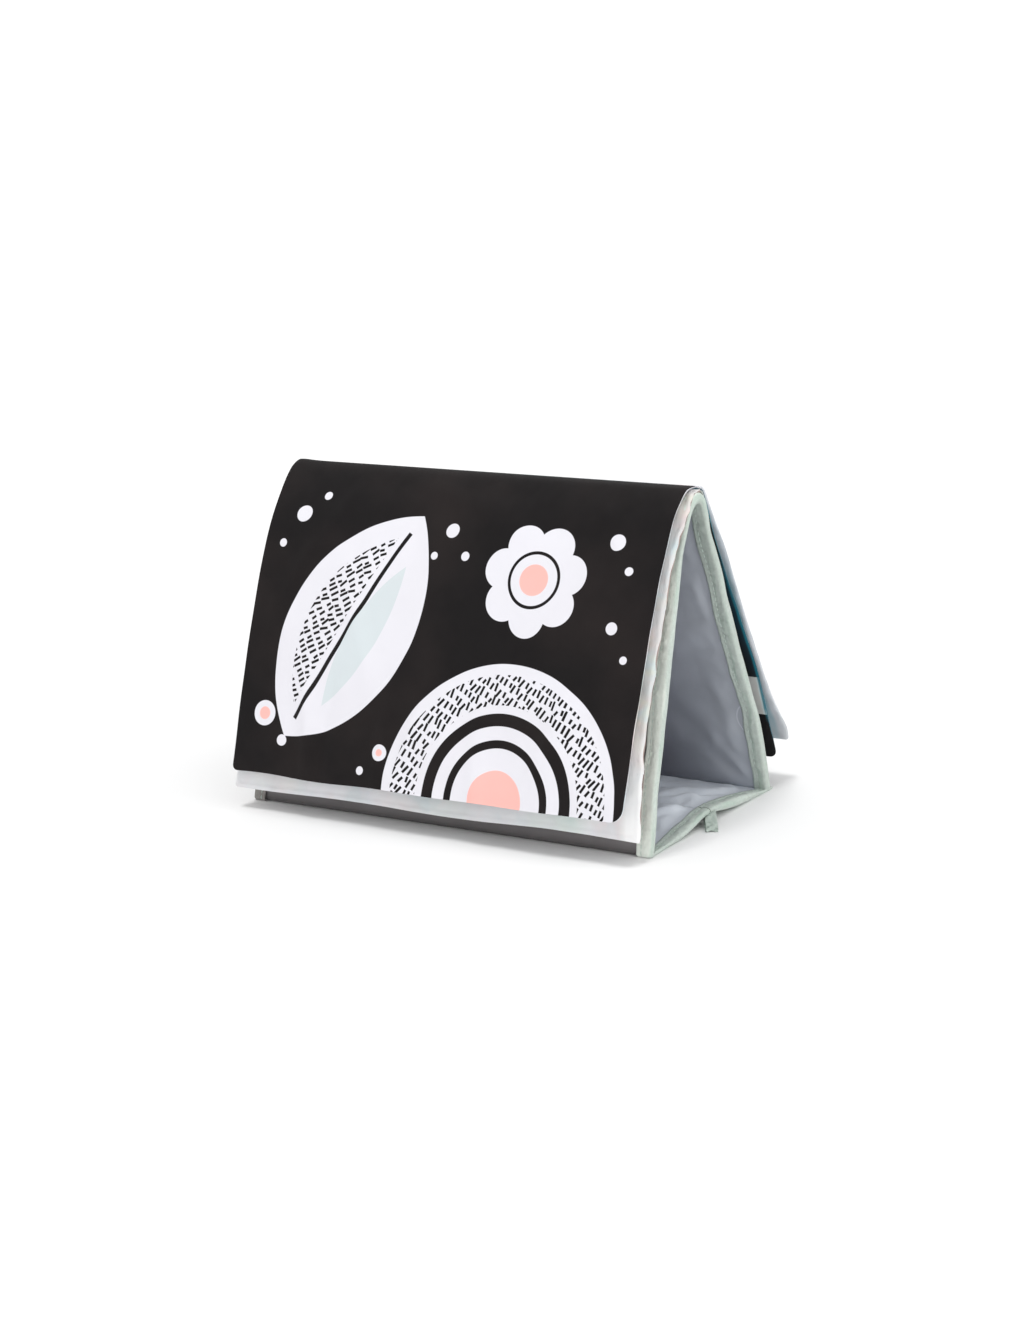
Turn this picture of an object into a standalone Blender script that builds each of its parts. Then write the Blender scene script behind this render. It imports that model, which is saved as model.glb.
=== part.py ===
# Free-standing soft floor book: a padded fabric tent on a creased base, with two turning pages on each side.
# The ridge runs along X, the front faces -Y, the floor is Z = 0. Sizes below are in millimetres.
import math

import bmesh
import bpy
from mathutils import Vector

MM = 0.001

# ---------------------------------------------------------------- driving sizes
HALF_WIDTH = 130.0        # half the width of the bound panels, along X
RIDGE = (-7.0, 176.0)     # (Y, Z) of the fold line between the two panels
FOOT_FRONT = (-63.5, 5.6)  # fold line between the front panel and the base
FOOT_BACK = (63.5, 5.6)
CREASE_Z = 4.0            # height of the base's raised crease, at its underside
PANEL_BOW = 4.5           # how far each panel bulges outward at mid height
PANEL_GAP = 1.0           # from the fold lines' plane to the lining
LAYER = 0.6               # one fabric layer
BOARD = 2.0               # stiffener in a panel
SEAM_GAP = 0.3            # gap kept between touching layers
TAPE = 0.6                # thickness of the folded edge tape
TAPE_WIDTH = 8.0          # how far the tape reaches in over each face
BASE_BOARD = 1.2
CREASE_ZONE = 20.0        # fabric only, on each side of the crease, so that it can fold
PAGE_LAYER = 0.6
PAGE_FILM = 0.4
PAGE_ROOT = 12.0          # stitched root of a page, fabric only

# page name: (points from the page's hinge down to its free edge, half width, corner radius)
PAGES = {
    "front_inner_page": ([(-8.0, 182.3), (-24.0, 173.7), (-37.0, 159.0), (-47.5, 138.0), (-82.8, 14.6)], 130.0, 2.0),
    "front_outer_page": ([(-7.0, 185.8), (-26.5, 177.8), (-40.5, 162.5), (-52.0, 139.0), (-90.0, 24.0)], 127.2, 9.0),
    "back_inner_page": ([(-2.4, 182.4), (9.6, 166.5), (31.5, 123.0), (79.0, 19.0)], 129.0, 4.5),
    "back_outer_page": ([(-1.8, 186.0), (10.6, 176.8), (29.0, 143.5), (52.0, 103.0), (90.035, 25.5)], 129.4, 2.0),
}

COLOURS = {
    "grey_satin": (0.155, 0.155, 0.165), "lining": (0.27, 0.29, 0.33), "mint_tape": (0.52, 0.66, 0.55),
    "board": (0.80, 0.80, 0.78), "black_print": (0.028, 0.024, 0.026), "pastel_print": (0.70, 0.74, 0.76),
    "film": (0.75, 0.76, 0.78), "teal_print": (0.05, 0.22, 0.28),
}

# ---------------------------------------------------------------- plane geometry


def length(a, b):
    return math.hypot(b[0] - a[0], b[1] - a[1])


def angle(a, b):
    return math.atan2(b[1] - a[1], b[0] - a[0])


def crease_point():
    """Where the crease lies so that both sides of the loop are equally long from ridge to crease and fold flat."""
    low, high = -30.0, 30.0
    for _ in range(60):
        y = (low + high) / 2
        spare = (length(FOOT_FRONT, RIDGE) - length(FOOT_FRONT, (y, CREASE_Z))) - (
            length(FOOT_BACK, RIDGE) - length(FOOT_BACK, (y, CREASE_Z)))
        low, high = (y, high) if spare > 0 else (low, y)
    return ((low + high) / 2, CREASE_Z)


def catmull(points, steps):
    P = [Vector(p) for p in points]
    P = [2 * P[0] - P[1]] + P + [2 * P[-1] - P[-2]]
    out = []
    for i in range(1, len(P) - 2):
        a, b, c, d = P[i - 1:i + 3]
        for k in range(steps):
            t = k / steps
            out.append(0.5 * (2 * b + (c - a) * t + (2 * a - 5 * b + 4 * c - d) * t * t + (3 * b - a - 3 * c + d) * t ** 3))
    out.append(P[-2])
    return out


def walk(line, start, end, n):
    """n + 1 points evenly spaced from start to end millimetres along a line; end None is its far end."""
    run = [0.0]
    for a, b in zip(line, line[1:]):
        run.append(run[-1] + (b - a).length)
    end = run[-1] if end is None else end
    out = []
    for k in range(n + 1):
        s = start + (end - start) * k / n
        i = max(j for j in range(len(run) - 1) if run[j] <= s + 1e-9)
        out.append(line[i].lerp(line[i + 1], (s - run[i]) / (run[i + 1] - run[i])))
    return out


def normals(line):
    out = []
    for i in range(len(line)):
        t = (line[min(i + 1, len(line) - 1)] - line[max(i - 1, 0)]).normalized()
        out.append(Vector((-t.y, t.x)))
    return out


def straight(start, direction, s0, s1, n):
    t = Vector((math.cos(direction), math.sin(direction)))
    return [Vector(start) + t * (s0 + (s1 - s0) * k / n) for k in range(n + 1)]


def bowed(a, b, n=16):
    """Line from a to b that bulges to its left by PANEL_BOW."""
    a, b = Vector(a), Vector(b)
    t = (b - a).normalized()
    left = Vector((-t.y, t.x))
    return [a.lerp(b, k / n) + left * PANEL_BOW * 4 * (k / n) * (1 - k / n) for k in range(n + 1)]


# ---------------------------------------------------------------- scene and materials
for old in list(bpy.data.objects):
    bpy.data.objects.remove(old, do_unlink=True)

scene = bpy.context.scene


def material(name, colour, roughness, sheen=0.0):
    m = bpy.data.materials.new(name)
    m.use_nodes = True
    shader = m.node_tree.nodes["Principled BSDF"]
    shader.inputs["Base Color"].default_value = (*colour, 1.0)
    shader.inputs["Roughness"].default_value = roughness
    shader.inputs["Metallic"].default_value = 0.0
    shader.inputs["Sheen Weight"].default_value = sheen
    return m


def holder(name, y, z, parent=None):
    """An empty on a fold line, which carries the pieces that turn about it."""
    e = bpy.data.objects.new(name, None)
    e.empty_display_size = 0.02
    scene.collection.objects.link(e)
    place = Vector((0.0, y * MM, z * MM))
    if parent:
        e.parent = parent
        place = place - centre[parent.name]
    e.location = place
    centre[name] = Vector((0.0, y * MM, z * MM))
    return e


centre = {}


def finish(name, bm, holder_object, colour, roughness=0.8, sheen=0.2):
    bmesh.ops.recalc_face_normals(bm, faces=bm.faces)
    mesh = bpy.data.meshes.new(name)
    bm.to_mesh(mesh)
    bm.free()
    obj = bpy.data.objects.new(name, mesh)
    scene.collection.objects.link(obj)
    obj.parent = holder_object
    mesh.materials.append(material(name, COLOURS[colour], roughness, sheen))
    return obj


def loft(name, rings, holder_object, colour, roughness=0.8, sheen=0.2):
    """A closed solid through rings of (x, y, z) points in millimetres, capped at both ends."""
    bm = bmesh.new()
    base = centre[holder_object.name]
    loops = [[bm.verts.new(Vector((x * MM, y * MM, z * MM)) - base) for x, y, z in ring] for ring in rings]
    for a, b in zip(loops, loops[1:]):
        for i in range(len(a)):
            j = (i + 1) % len(a)
            bm.faces.new((a[i], a[j], b[j], b[i]))
    bm.faces.new(loops[0][::-1])
    bm.faces.new(loops[-1])
    return finish(name, bm, holder_object, colour, roughness, sheen)


def slab(name, line, low, high, half_width, holder_object, colour, corner=0.0, **look):
    """A sheet that follows a line in the YZ plane, between two offsets to the line's left, with rounded far corners."""
    side = normals(line)
    run = [0.0]
    for a, b in zip(line, line[1:]):
        run.append(run[-1] + (b - a).length)
    rings = []
    for p, n, s in zip(line, side, run):
        into = max(0.0, s - (run[-1] - corner))
        w = half_width - (corner - math.sqrt(max(corner * corner - into * into, 0.0))) if corner else half_width
        a, b = p + n * low, p + n * high
        rings.append([(-w, *a), (w, *a), (w, *b), (-w, *b)])
    return loft(name, rings, holder_object, colour, **look)


def tape(name, line, low, high, sign, holder_object):
    """Edge tape folded round a panel's side: a channel open towards the middle of the panel."""
    side = normals(line)
    outer, web = HALF_WIDTH, HALF_WIDTH - TAPE
    inner = HALF_WIDTH - TAPE_WIDTH
    lo, hi = low - SEAM_GAP - TAPE, high + SEAM_GAP + TAPE
    profile = [(inner, lo), (outer, lo), (outer, hi), (inner, hi), (inner, hi - TAPE), (web, hi - TAPE), (web, lo + TAPE), (inner, lo + TAPE)]
    rings = [[(sign * x, *(p + n * o)) for x, o in profile] for p, n in zip(line, side)]
    return loft(name, rings, holder_object, "mint_tape", roughness=0.75, sheen=0.3)


def prism(name, outline, x0, x1, holder_object, colour, **look):
    """An outline in the YZ plane, extruded along X."""
    return loft(name, [[(x, y, z) for y, z in outline] for x in (x0, x1)], holder_object, colour, **look)


# ---------------------------------------------------------------- fold lines
CREASE = crease_point()
body = {"front_panel": holder("front_panel_frame", 0.0, 0.0)}
body["back_panel"] = holder("ridge_fold", *RIDGE, body["front_panel"])
body["base_front"] = holder("front_foot_fold", *FOOT_FRONT, body["front_panel"])
body["base_back"] = holder("back_foot_fold", *FOOT_BACK, body["back_panel"])
for page, carrier in (("front_inner_page", "front_panel"), ("front_outer_page", "front_inner_page"),
                      ("back_inner_page", "back_panel"), ("back_outer_page", "back_inner_page")):
    body[page] = holder(page + "_turn", *PAGES[page][0][0], body[carrier])

# ---------------------------------------------------------------- panels
# Left of each line is the outer side: the front one runs up to the ridge and the back one runs down from it.
panel_line = {"front": bowed(FOOT_FRONT, RIDGE), "back": bowed(RIDGE, FOOT_BACK)}
PANEL_THICK = 2 * LAYER + BOARD + 2 * SEAM_GAP
for which, line in panel_line.items():
    full = sum((b - a).length for a, b in zip(line, line[1:]))
    at_foot, at_ridge = (2.0, full - 1.2) if which == "front" else (1.2, full - 2.0)
    run = walk(line, at_foot, at_ridge, 16)
    low, b, carrier = PANEL_GAP, HALF_WIDTH - TAPE - SEAM_GAP, body[which + "_panel"]
    slab(which + "_panel_lining", run, low, low + LAYER, b, carrier, "lining", roughness=0.45, sheen=0.3)
    low += LAYER + SEAM_GAP
    slab(which + "_panel_board", run, low, low + BOARD, b - 1.0, carrier, "board", roughness=0.6)
    low += BOARD + SEAM_GAP
    slab(which + "_panel_cover", run, low, low + LAYER, b, carrier, "grey_satin", roughness=0.5, sheen=0.3)
    for side, sign in (("right", 1), ("left", -1)):
        tape(f"{which}_panel_binding_{side}", run, PANEL_GAP, PANEL_GAP + PANEL_THICK, sign, carrier)

# Folded and stitched bottom edge of each panel, flat where it stands on the floor
for which, foot, s in (("front", FOOT_FRONT, -1), ("back", FOOT_BACK, 1)):
    lean = abs(angle(foot, RIDGE) - math.pi / 2)
    out = Vector((s * math.cos(lean), math.sin(lean)))
    up = Vector((-s * math.sin(lean), math.cos(lean)))
    start = Vector(foot) + up * 1.4
    inner, outer = start + out * (PANEL_GAP - 0.1), start + out * (PANEL_GAP + PANEL_THICK + 0.6)
    edge = [(foot[0] + s * 0.5, 0.0), (foot[0] + s * 7.6, 0.0), (foot[0] + s * 7.7, 2.0), tuple(outer), tuple(inner),
            (foot[0] + s * 0.5, 3.0)]
    prism(which + "_bottom_seam", edge, -HALF_WIDTH, HALF_WIDTH, body[which + "_panel"], "grey_satin", roughness=0.55)

# Tape over the ridge, which holds the two panels together at the top
rise = PANEL_GAP + PANEL_THICK + SEAM_GAP + TAPE + 0.5
front_top = walk(panel_line["front"], 0.0, None, 60)
back_top = walk(panel_line["back"], 0.0, None, 60)
f_n, b_n = normals(front_top), normals(back_top)
cap = [front_top[i] + f_n[i] * rise for i in (55, 57, 59)]
cap += [Vector((RIDGE[0] + y, RIDGE[1] + z)) for y, z in ((-5.6, 2.0), (-0.4, 3.9), (5.0, 3.1))]
cap += [back_top[i] + b_n[i] * rise for i in (1, 3, 5)]
slab("spine_tape", walk(catmull(cap, 4), 0.0, None, 18), 0.0, LAYER, HALF_WIDTH - 0.5, body["front_panel"], "mint_tape")

# ---------------------------------------------------------------- base
# Each half hinges at its foot on its upper side, and the two meet at the crease on their lower side.
base_low = PANEL_GAP + 2 * LAYER + BASE_BOARD + 2 * SEAM_GAP
under = base_low + SEAM_GAP + TAPE
for which, foot, s in (("front", FOOT_FRONT, 1), ("back", FOOT_BACK, -1)):
    reach = length(foot, CREASE)
    direction = angle(foot, CREASE) + s * math.asin(under / reach)
    full = math.sqrt(reach ** 2 - under ** 2)
    carrier = body["base_" + which]
    run = straight(foot, direction, 1.6, full - CREASE_ZONE, 3)
    b = HALF_WIDTH - TAPE - SEAM_GAP

    def off(low, high):
        """Depths below the upper side, as offsets to the left of the run."""
        return (-high, -low) if s > 0 else (low, high)
    d = PANEL_GAP
    slab(f"base_{which}_lining", run, *off(d, d + LAYER), b, carrier, "lining", roughness=0.5, sheen=0.3)
    d += LAYER + SEAM_GAP
    slab(f"base_{which}_board", run, *off(d, d + BASE_BOARD), b - 1.0, carrier, "board", roughness=0.6)
    d += BASE_BOARD + SEAM_GAP
    slab(f"base_{which}_cover", run, *off(d, d + LAYER), b, carrier, "grey_satin", roughness=0.55)
    for side, sign in (("right", 1), ("left", -1)):
        tape(f"base_{which}_binding_{side}", run, *off(PANEL_GAP, base_low), sign, carrier)
    # the boards stop short of the crease, where only the two fabrics and the tape go on
    fold = straight(foot, direction, full - CREASE_ZONE + 0.3, full - 0.35, 4)
    slab(f"base_{which}_crease_fold", fold, *off(under - 2.6, under), HALF_WIDTH, carrier, "mint_tape")

# Loose ends of the edge tape, folded into a short loop at the crease on both sides
y0 = CREASE[0] - 1.2
for side, sign in (("right", 1), ("left", -1)):
    path = catmull([(129.2 + 1.1, 4.2), (133.0, 3.9), (136.5, 2.6), (139.4, 0.9)], 4)
    half = 4.3
    rings = []
    for k, (p, n) in enumerate(zip(path, normals(path))):
        drift = -6.0 * (k / (len(path) - 1)) ** 1.3
        a, c = p, p + n * 0.9
        rings.append([(sign * a.x, y0 + drift - half, a.y), (sign * a.x, y0 + drift + half, a.y),
                      (sign * c.x, y0 + drift + half, c.y), (sign * c.x, y0 + drift - half, c.y)])
    loft("crease_tab_" + side, rings, body["base_front"], "mint_tape")

# ---------------------------------------------------------------- pages
PAGE_THICK = 2 * PAGE_LAYER + PAGE_FILM + 2 * SEAM_GAP
FACES = {"front_inner_page": ("pastel_print", "pastel_print"), "front_outer_page": ("black_print", "pastel_print"),
         "back_inner_page": ("teal_print", "black_print"), "back_outer_page": ("pastel_print", "pastel_print")}
for page, (points, half, corner) in PAGES.items():
    whole = catmull(points, 10)
    # the outward side is on the left of a line that runs up the front or down the back
    flip = page.startswith("front")
    leaf = walk(whole, PAGE_ROOT, None, 22)
    root = walk(whole, 0.9, PAGE_ROOT - 0.3, 5)
    # finer steps at the rounded corners
    run = sum((b - a).length for a, b in zip(leaf, leaf[1:]))
    if corner:
        main = walk(whole, PAGE_ROOT, PAGE_ROOT + run - corner, 18)
        tip = [walk(whole, 0.0, PAGE_ROOT + run - corner + corner * math.sin(math.pi / 2 * k / 5), 1)[-1] for k in range(1, 6)]
        leaf = main + tip
    low, carrier = -PAGE_THICK / 2, body[page]
    order = (("inward_face", PAGE_LAYER, 1), ("crinkle_film", PAGE_FILM, None), ("outward_face", PAGE_LAYER, 0))
    for name, thick, face in order:
        lo, hi = low, low + thick
        if flip:
            lo, hi = -hi, -lo
        if face is None:
            slab(f"{page}_{name}", leaf, lo, hi, half - 1.5, carrier, "film", corner=max(corner - 1.5, 1.0), roughness=0.3)
        else:
            slab(f"{page}_{name}", leaf, lo, hi, half, carrier, FACES[page][face], corner=corner, roughness=0.75)
        low += thick + SEAM_GAP
    slab(f"{page}_root", root, -0.6, 0.6, half - 0.5, carrier, FACES[page][0], roughness=0.8)
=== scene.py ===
import math

import bpy
import numpy as np
from mathutils import Matrix, Vector


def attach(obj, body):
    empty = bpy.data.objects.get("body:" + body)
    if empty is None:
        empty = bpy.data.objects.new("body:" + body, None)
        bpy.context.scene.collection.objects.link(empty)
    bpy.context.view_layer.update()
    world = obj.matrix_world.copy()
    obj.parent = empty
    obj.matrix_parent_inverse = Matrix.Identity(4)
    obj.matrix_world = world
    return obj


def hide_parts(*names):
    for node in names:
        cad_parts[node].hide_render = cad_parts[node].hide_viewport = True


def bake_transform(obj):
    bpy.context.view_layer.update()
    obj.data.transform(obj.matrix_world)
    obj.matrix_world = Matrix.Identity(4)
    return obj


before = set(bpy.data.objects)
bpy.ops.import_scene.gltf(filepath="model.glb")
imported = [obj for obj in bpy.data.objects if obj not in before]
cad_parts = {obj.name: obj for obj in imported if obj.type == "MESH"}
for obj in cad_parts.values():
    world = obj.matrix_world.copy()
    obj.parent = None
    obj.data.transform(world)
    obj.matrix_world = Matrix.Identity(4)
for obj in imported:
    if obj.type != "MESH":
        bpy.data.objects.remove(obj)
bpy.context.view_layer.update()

# Lengths in this script are millimetres; meshes are scaled to metres when they are made.
MM = 0.001
HALF = 130.0
RIDGE = (-7.0, 176.0)
FOOT_F, FOOT_B = (-63.5, 5.6), (63.5, 5.6)
CREASE_Y = -2.4435


# ------------------------------------------------------------------ curves and fields
def catmull(points, steps=24):
    P = np.array(points, float)
    P = np.vstack([2 * P[0] - P[1], P, 2 * P[-1] - P[-2]])
    out = []
    for i in range(1, len(P) - 2):
        a, b, c, d = P[i - 1:i + 3]
        # chord-length parameters keep unevenly spaced points from overshooting
        t1 = np.linalg.norm(b - a) ** 0.5
        t2 = t1 + np.linalg.norm(c - b) ** 0.5
        t3 = t2 + np.linalg.norm(d - c) ** 0.5
        for k in range(steps):
            t = t1 + (t2 - t1) * k / steps
            A1 = (t1 - t) / t1 * a + t / t1 * b
            A2 = (t2 - t) / (t2 - t1) * b + (t - t1) / (t2 - t1) * c
            A3 = (t3 - t) / (t3 - t2) * c + (t - t2) / (t3 - t2) * d
            B1 = (t2 - t) / t2 * A1 + t / t2 * A2
            B2 = (t3 - t) / (t3 - t1) * A2 + (t - t1) / (t3 - t1) * A3
            out.append((t2 - t) / (t2 - t1) * B1 + (t - t1) / (t2 - t1) * B2)
    out.append(P[-2])
    return np.array(out)


class Path:
    """A smooth line in the YZ plane, read by the distance along it."""

    def __init__(self, points, steps=24):
        self.p = catmull(points, steps)
        seg = np.linalg.norm(np.diff(self.p, axis=0), axis=1)
        self.s = np.concatenate([[0], np.cumsum(seg)])
        self.length = self.s[-1]
        t = np.gradient(self.p, self.s, axis=0)
        self.t = t / np.linalg.norm(t, axis=1, keepdims=True)

    def at(self, s):
        return np.stack([np.interp(s, self.s, self.p[:, i]) for i in (0, 1)], -1)

    def left(self, s):
        t = np.stack([np.interp(s, self.s, self.t[:, i]) for i in (0, 1)], -1)
        t /= np.linalg.norm(t, axis=-1, keepdims=True)
        return np.stack([-t[..., 1], t[..., 0]], -1)

    def nearest(self, y, z):
        return self.s[np.argmin((self.p[:, 0] - y) ** 2 + (self.p[:, 1] - z) ** 2)]


def smooth(x, a, b):
    t = np.clip((x - a) / (b - a), 0, 1)
    return t * t * (3 - 2 * t)


def waves(u, v, seed, lo, hi, n=14, stretch=1.0, lean=0.0):
    """An uneven surface of about unit height: plane waves with lengths from lo to hi, stretched along v."""
    r = np.random.RandomState(seed)
    total, power = 0.0, 0.0
    cu, su = math.cos(lean), math.sin(lean)
    p, q = u * cu + v * su, (-u * su + v * cu) / stretch
    for _ in range(n):
        a, length, phase = r.uniform(0, 2 * math.pi), math.exp(r.uniform(math.log(lo), math.log(hi))), r.uniform(0, 2 * math.pi)
        k, weight = 2 * math.pi / length, (length / hi) ** 0.7
        total = total + weight * np.cos(k * (math.cos(a) * p + math.sin(a) * q) + phase)
        power += weight * weight / 2
    return total / math.sqrt(power)


def fold(u, v, at, lean, length, width, height, skew=0.0):
    """One soft crease: centred at a point, running at an angle from u, with a length, a width and a height."""
    du, dv = u - at[0], v - at[1]
    c, s = math.cos(math.radians(lean)), math.sin(math.radians(lean))
    along, across = du * c + dv * s, -du * s + dv * c
    across = across + 0.00 * along
    shape = np.exp(-(across / width) ** 2) * (1 + skew * np.tanh(across / width))
    return height * shape * np.exp(-np.abs(along / length) ** 3)


# ------------------------------------------------------------------ meshes
def make(name, verts, faces, uv, materials, face_material=None, sharp=None):
    """A mesh object from arrays in millimetres, with the cloth's own flat coordinates as its UV map."""
    mesh = bpy.data.meshes.new(name)
    mesh.from_pydata((np.asarray(verts) * MM).tolist(), [], faces)
    layer = mesh.uv_layers.new(name="cloth")
    loops = np.empty(len(mesh.loops), np.int32)
    mesh.loops.foreach_get("vertex_index", loops)
    layer.data.foreach_set("uv", (np.asarray(uv)[loops] * MM).astype(np.float32).ravel())
    for m in materials:
        mesh.materials.append(m)
    if face_material is not None:
        mesh.polygons.foreach_set("material_index", np.asarray(face_material, np.int32))
    mesh.polygons.foreach_set("use_smooth", np.ones(len(mesh.polygons), bool))
    mesh.validate()
    mesh.update()
    obj = bpy.data.objects.new(name, mesh)
    bpy.context.scene.collection.objects.link(obj)
    if sharp:
        mesh.set_sharp_from_angle(angle=math.radians(sharp))
    return obj


def shell(name, top, bottom, uv, materials, weld=(False, False, False, False), backing=None):
    """A closed sheet between two grids (rows, columns, 3). weld says which rims share their points: first row, last row, first column, last column."""
    ns, nu = top.shape[:2]
    a = np.arange(ns * nu).reshape(ns, nu)
    b = a + ns * nu
    b = b.copy()
    if weld[0]:
        b[0] = a[0]
    if weld[1]:
        b[-1] = a[-1]
    if weld[2]:
        b[:, 0] = a[:, 0]
    if weld[3]:
        b[:, -1] = a[:, -1]
    verts = np.concatenate([top.reshape(-1, 3), bottom.reshape(-1, 3)])
    uvs = np.concatenate([uv.reshape(-1, 2)] * 2)
    quads, mats = [], []

    def add(q, m):
        quads.append(q)
        mats.append(np.full(len(q), m))

    add(np.stack([a[:-1, :-1], a[:-1, 1:], a[1:, 1:], a[1:, :-1]], -1).reshape(-1, 4), 0)
    add(np.stack([b[:-1, :-1], b[1:, :-1], b[1:, 1:], b[:-1, 1:]], -1).reshape(-1, 4), backing or 0)
    if not weld[0]:
        add(np.stack([a[0, 1:], a[0, :-1], b[0, :-1], b[0, 1:]], -1), 0)
    if not weld[1]:
        add(np.stack([a[-1, :-1], a[-1, 1:], b[-1, 1:], b[-1, :-1]], -1), 0)
    if not weld[2]:
        add(np.stack([a[:-1, 0], a[1:, 0], b[1:, 0], b[:-1, 0]], -1), 0)
    if not weld[3]:
        add(np.stack([a[1:, -1], a[:-1, -1], b[:-1, -1], b[1:, -1]], -1), 0)
    faces, kinds = [], []
    for q, m in zip(quads, mats):
        for face, kind in zip(q.tolist(), m.tolist()):
            ring = [v for i, v in enumerate(face) if v != face[i - 1]]
            if len(ring) > 2:
                faces.append(ring)
                kinds.append(kind)
    used = np.zeros(len(verts), bool)
    used[[v for f in faces for v in f]] = True
    place = np.cumsum(used) - 1
    faces = [[int(place[v]) for v in f] for f in faces]
    obj = make(name, verts[used], faces, uvs[used], materials, kinds)
    outward(obj)
    return obj


def outward(obj):
    """Turns the whole mesh inside out if its faces point in."""
    m = obj.data
    m.calc_loop_triangles()
    co = np.empty(len(m.vertices) * 3, np.float32)
    m.vertices.foreach_get("co", co)
    tri = np.empty(len(m.loop_triangles) * 3, np.int32)
    m.loop_triangles.foreach_get("vertices", tri)
    a, b, c = co.reshape(-1, 3).astype(float)[tri.reshape(-1, 3)].transpose(1, 0, 2)
    if np.einsum("ij,ij->", a, np.cross(b, c)) < 0:
        m.flip_normals()


def loft(name, rings, uv, materials, closed=True):
    """A closed tube through rings of points (stations, ring, 3), capped at both ends."""
    n, k = rings.shape[:2]
    verts = rings.reshape(-1, 3)
    idx = np.arange(n * k).reshape(n, k)
    nxt = np.roll(idx, -1, axis=1)
    quads = np.stack([idx[:-1], nxt[:-1], nxt[1:], idx[1:]], -1).reshape(-1, 4).tolist()
    # each cap is a strip between the two sides of the ring
    half = k // 2
    for row, flip in ((idx[0], True), (idx[-1], False)):
        for i in range(half - 1):
            q = [int(row[i]), int(row[i + 1]), int(row[k - 2 - i]), int(row[k - 1 - i])]
            quads.append(q[::-1] if not flip else q)
    obj = make(name, verts, quads, uv.reshape(-1, 2), materials)
    outward(obj)
    return obj


# ------------------------------------------------------------------ simulated cloth
def gathered(w, l, seed, slack=0.04, hold=0.05, puff=0.4, bend=2.0, band=14.0, step=2.6, frames=16):
    """Two cloths sewn together at the rim, cut a little too long for their seam, filled softly and let go. Returns the heights of both, in millimetres, on an even grid."""
    nu, ns = int(round(w / step)) + 1, int(round(l / step)) + 1
    U, S = np.meshgrid(np.linspace(-w / 2, w / 2, nu), np.linspace(0, l, ns))
    D = np.minimum(np.minimum(w / 2 - np.abs(U), l - S), S)
    start = [(0.7 + 0.12 * waves(U, S, seed + i, 7, 22, 30)) * np.sqrt(np.clip(D / 5, 0, 1)) for i in (0, 1)]
    k = 0.01                    # simulated at ten times its size
    a = np.arange(nu * ns).reshape(ns, nu)
    rim = D < 0.01
    b = a.copy()
    b[~rim] = nu * ns + np.arange((~rim).sum())
    verts = np.concatenate([np.stack([U, S, start[0]], -1).reshape(-1, 3), np.stack([U, S, -start[1]], -1)[~rim]]) * k
    quads = np.concatenate([np.stack([a[:-1, :-1], a[:-1, 1:], a[1:, 1:], a[1:, :-1]], -1).reshape(-1, 4),
                            np.stack([b[:-1, :-1], b[1:, :-1], b[1:, 1:], b[:-1, 1:]], -1).reshape(-1, 4)])
    mesh = bpy.data.meshes.new("cut_cloth")
    mesh.from_pydata(verts.tolist(), [], quads.tolist())
    obj = bpy.data.objects.new("cut_cloth", mesh)
    bpy.context.scene.collection.objects.link(obj)
    depth = np.concatenate([D.ravel(), D[~rim]])
    pin, loose = obj.vertex_groups.new(name="pin"), obj.vertex_groups.new(name="loose")
    pin.add(np.nonzero(depth < 0.01)[0].tolist(), 1.0, "REPLACE")
    pin.add(np.nonzero(depth >= 0.01)[0].tolist(), hold, "REPLACE")
    for i, near in enumerate(1 - np.exp(-(depth / band) ** 2)):
        loose.add([i], float(near), "REPLACE")
    mod = obj.modifiers.new("Cloth", "CLOTH")
    cs = mod.settings
    cs.quality, cs.mass, cs.air_damping = 4, 0.15, 2.0
    cs.tension_stiffness = cs.compression_stiffness = 15
    cs.shear_stiffness, cs.bending_stiffness = 5, bend
    cs.vertex_group_mass, cs.pin_stiffness = "pin", 1.0
    cs.vertex_group_shrink, cs.shrink_min, cs.shrink_max = "loose", -slack, 0.0
    cs.use_pressure, cs.uniform_pressure_force = True, puff
    cs.effector_weights.gravity = 0.0
    mod.collision_settings.use_collision = False
    mod.point_cache.frame_start, mod.point_cache.frame_end = 1, frames
    for f in range(1, frames + 1):
        bpy.context.scene.frame_set(f)
    shaped = obj.evaluated_get(bpy.context.evaluated_depsgraph_get())
    m = shaped.to_mesh()
    co = np.empty(len(m.vertices) * 3, np.float32)
    m.vertices.foreach_get("co", co)
    z = co.reshape(-1, 3)[:, 2] / k
    shaped.to_mesh_clear()
    bpy.data.objects.remove(obj)
    bpy.data.meshes.remove(mesh)
    bpy.context.scene.frame_set(1)
    top = z[:nu * ns].reshape(ns, nu).astype(float)
    bottom = top.copy()
    bottom[~rim] = z[nu * ns:]
    return top, bottom


def read(field, x, y):
    """A height between grid points; x and y run from 0 to 1 over the field."""
    ny, nx = field.shape
    fx, fy = np.clip(x, 0, 1) * (nx - 1), np.clip(y, 0, 1) * (ny - 1)
    ix, iy = np.minimum(fx.astype(int), nx - 2), np.minimum(fy.astype(int), ny - 2)

    def weights(t):
        return (-0.5 * t + t * t - 0.5 * t ** 3, 1 - 2.5 * t * t + 1.5 * t ** 3, 0.5 * t + 2 * t * t - 1.5 * t ** 3, -0.5 * t * t + 0.5 * t ** 3)

    wx, wy = weights(fx - ix), weights(fy - iy)
    total = 0.0
    for j in range(4):
        for i in range(4):
            total = total + wy[j] * wx[i] * field[np.clip(iy - 1 + j, 0, ny - 1), np.clip(ix - 1 + i, 0, nx - 1)]
    return total


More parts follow.
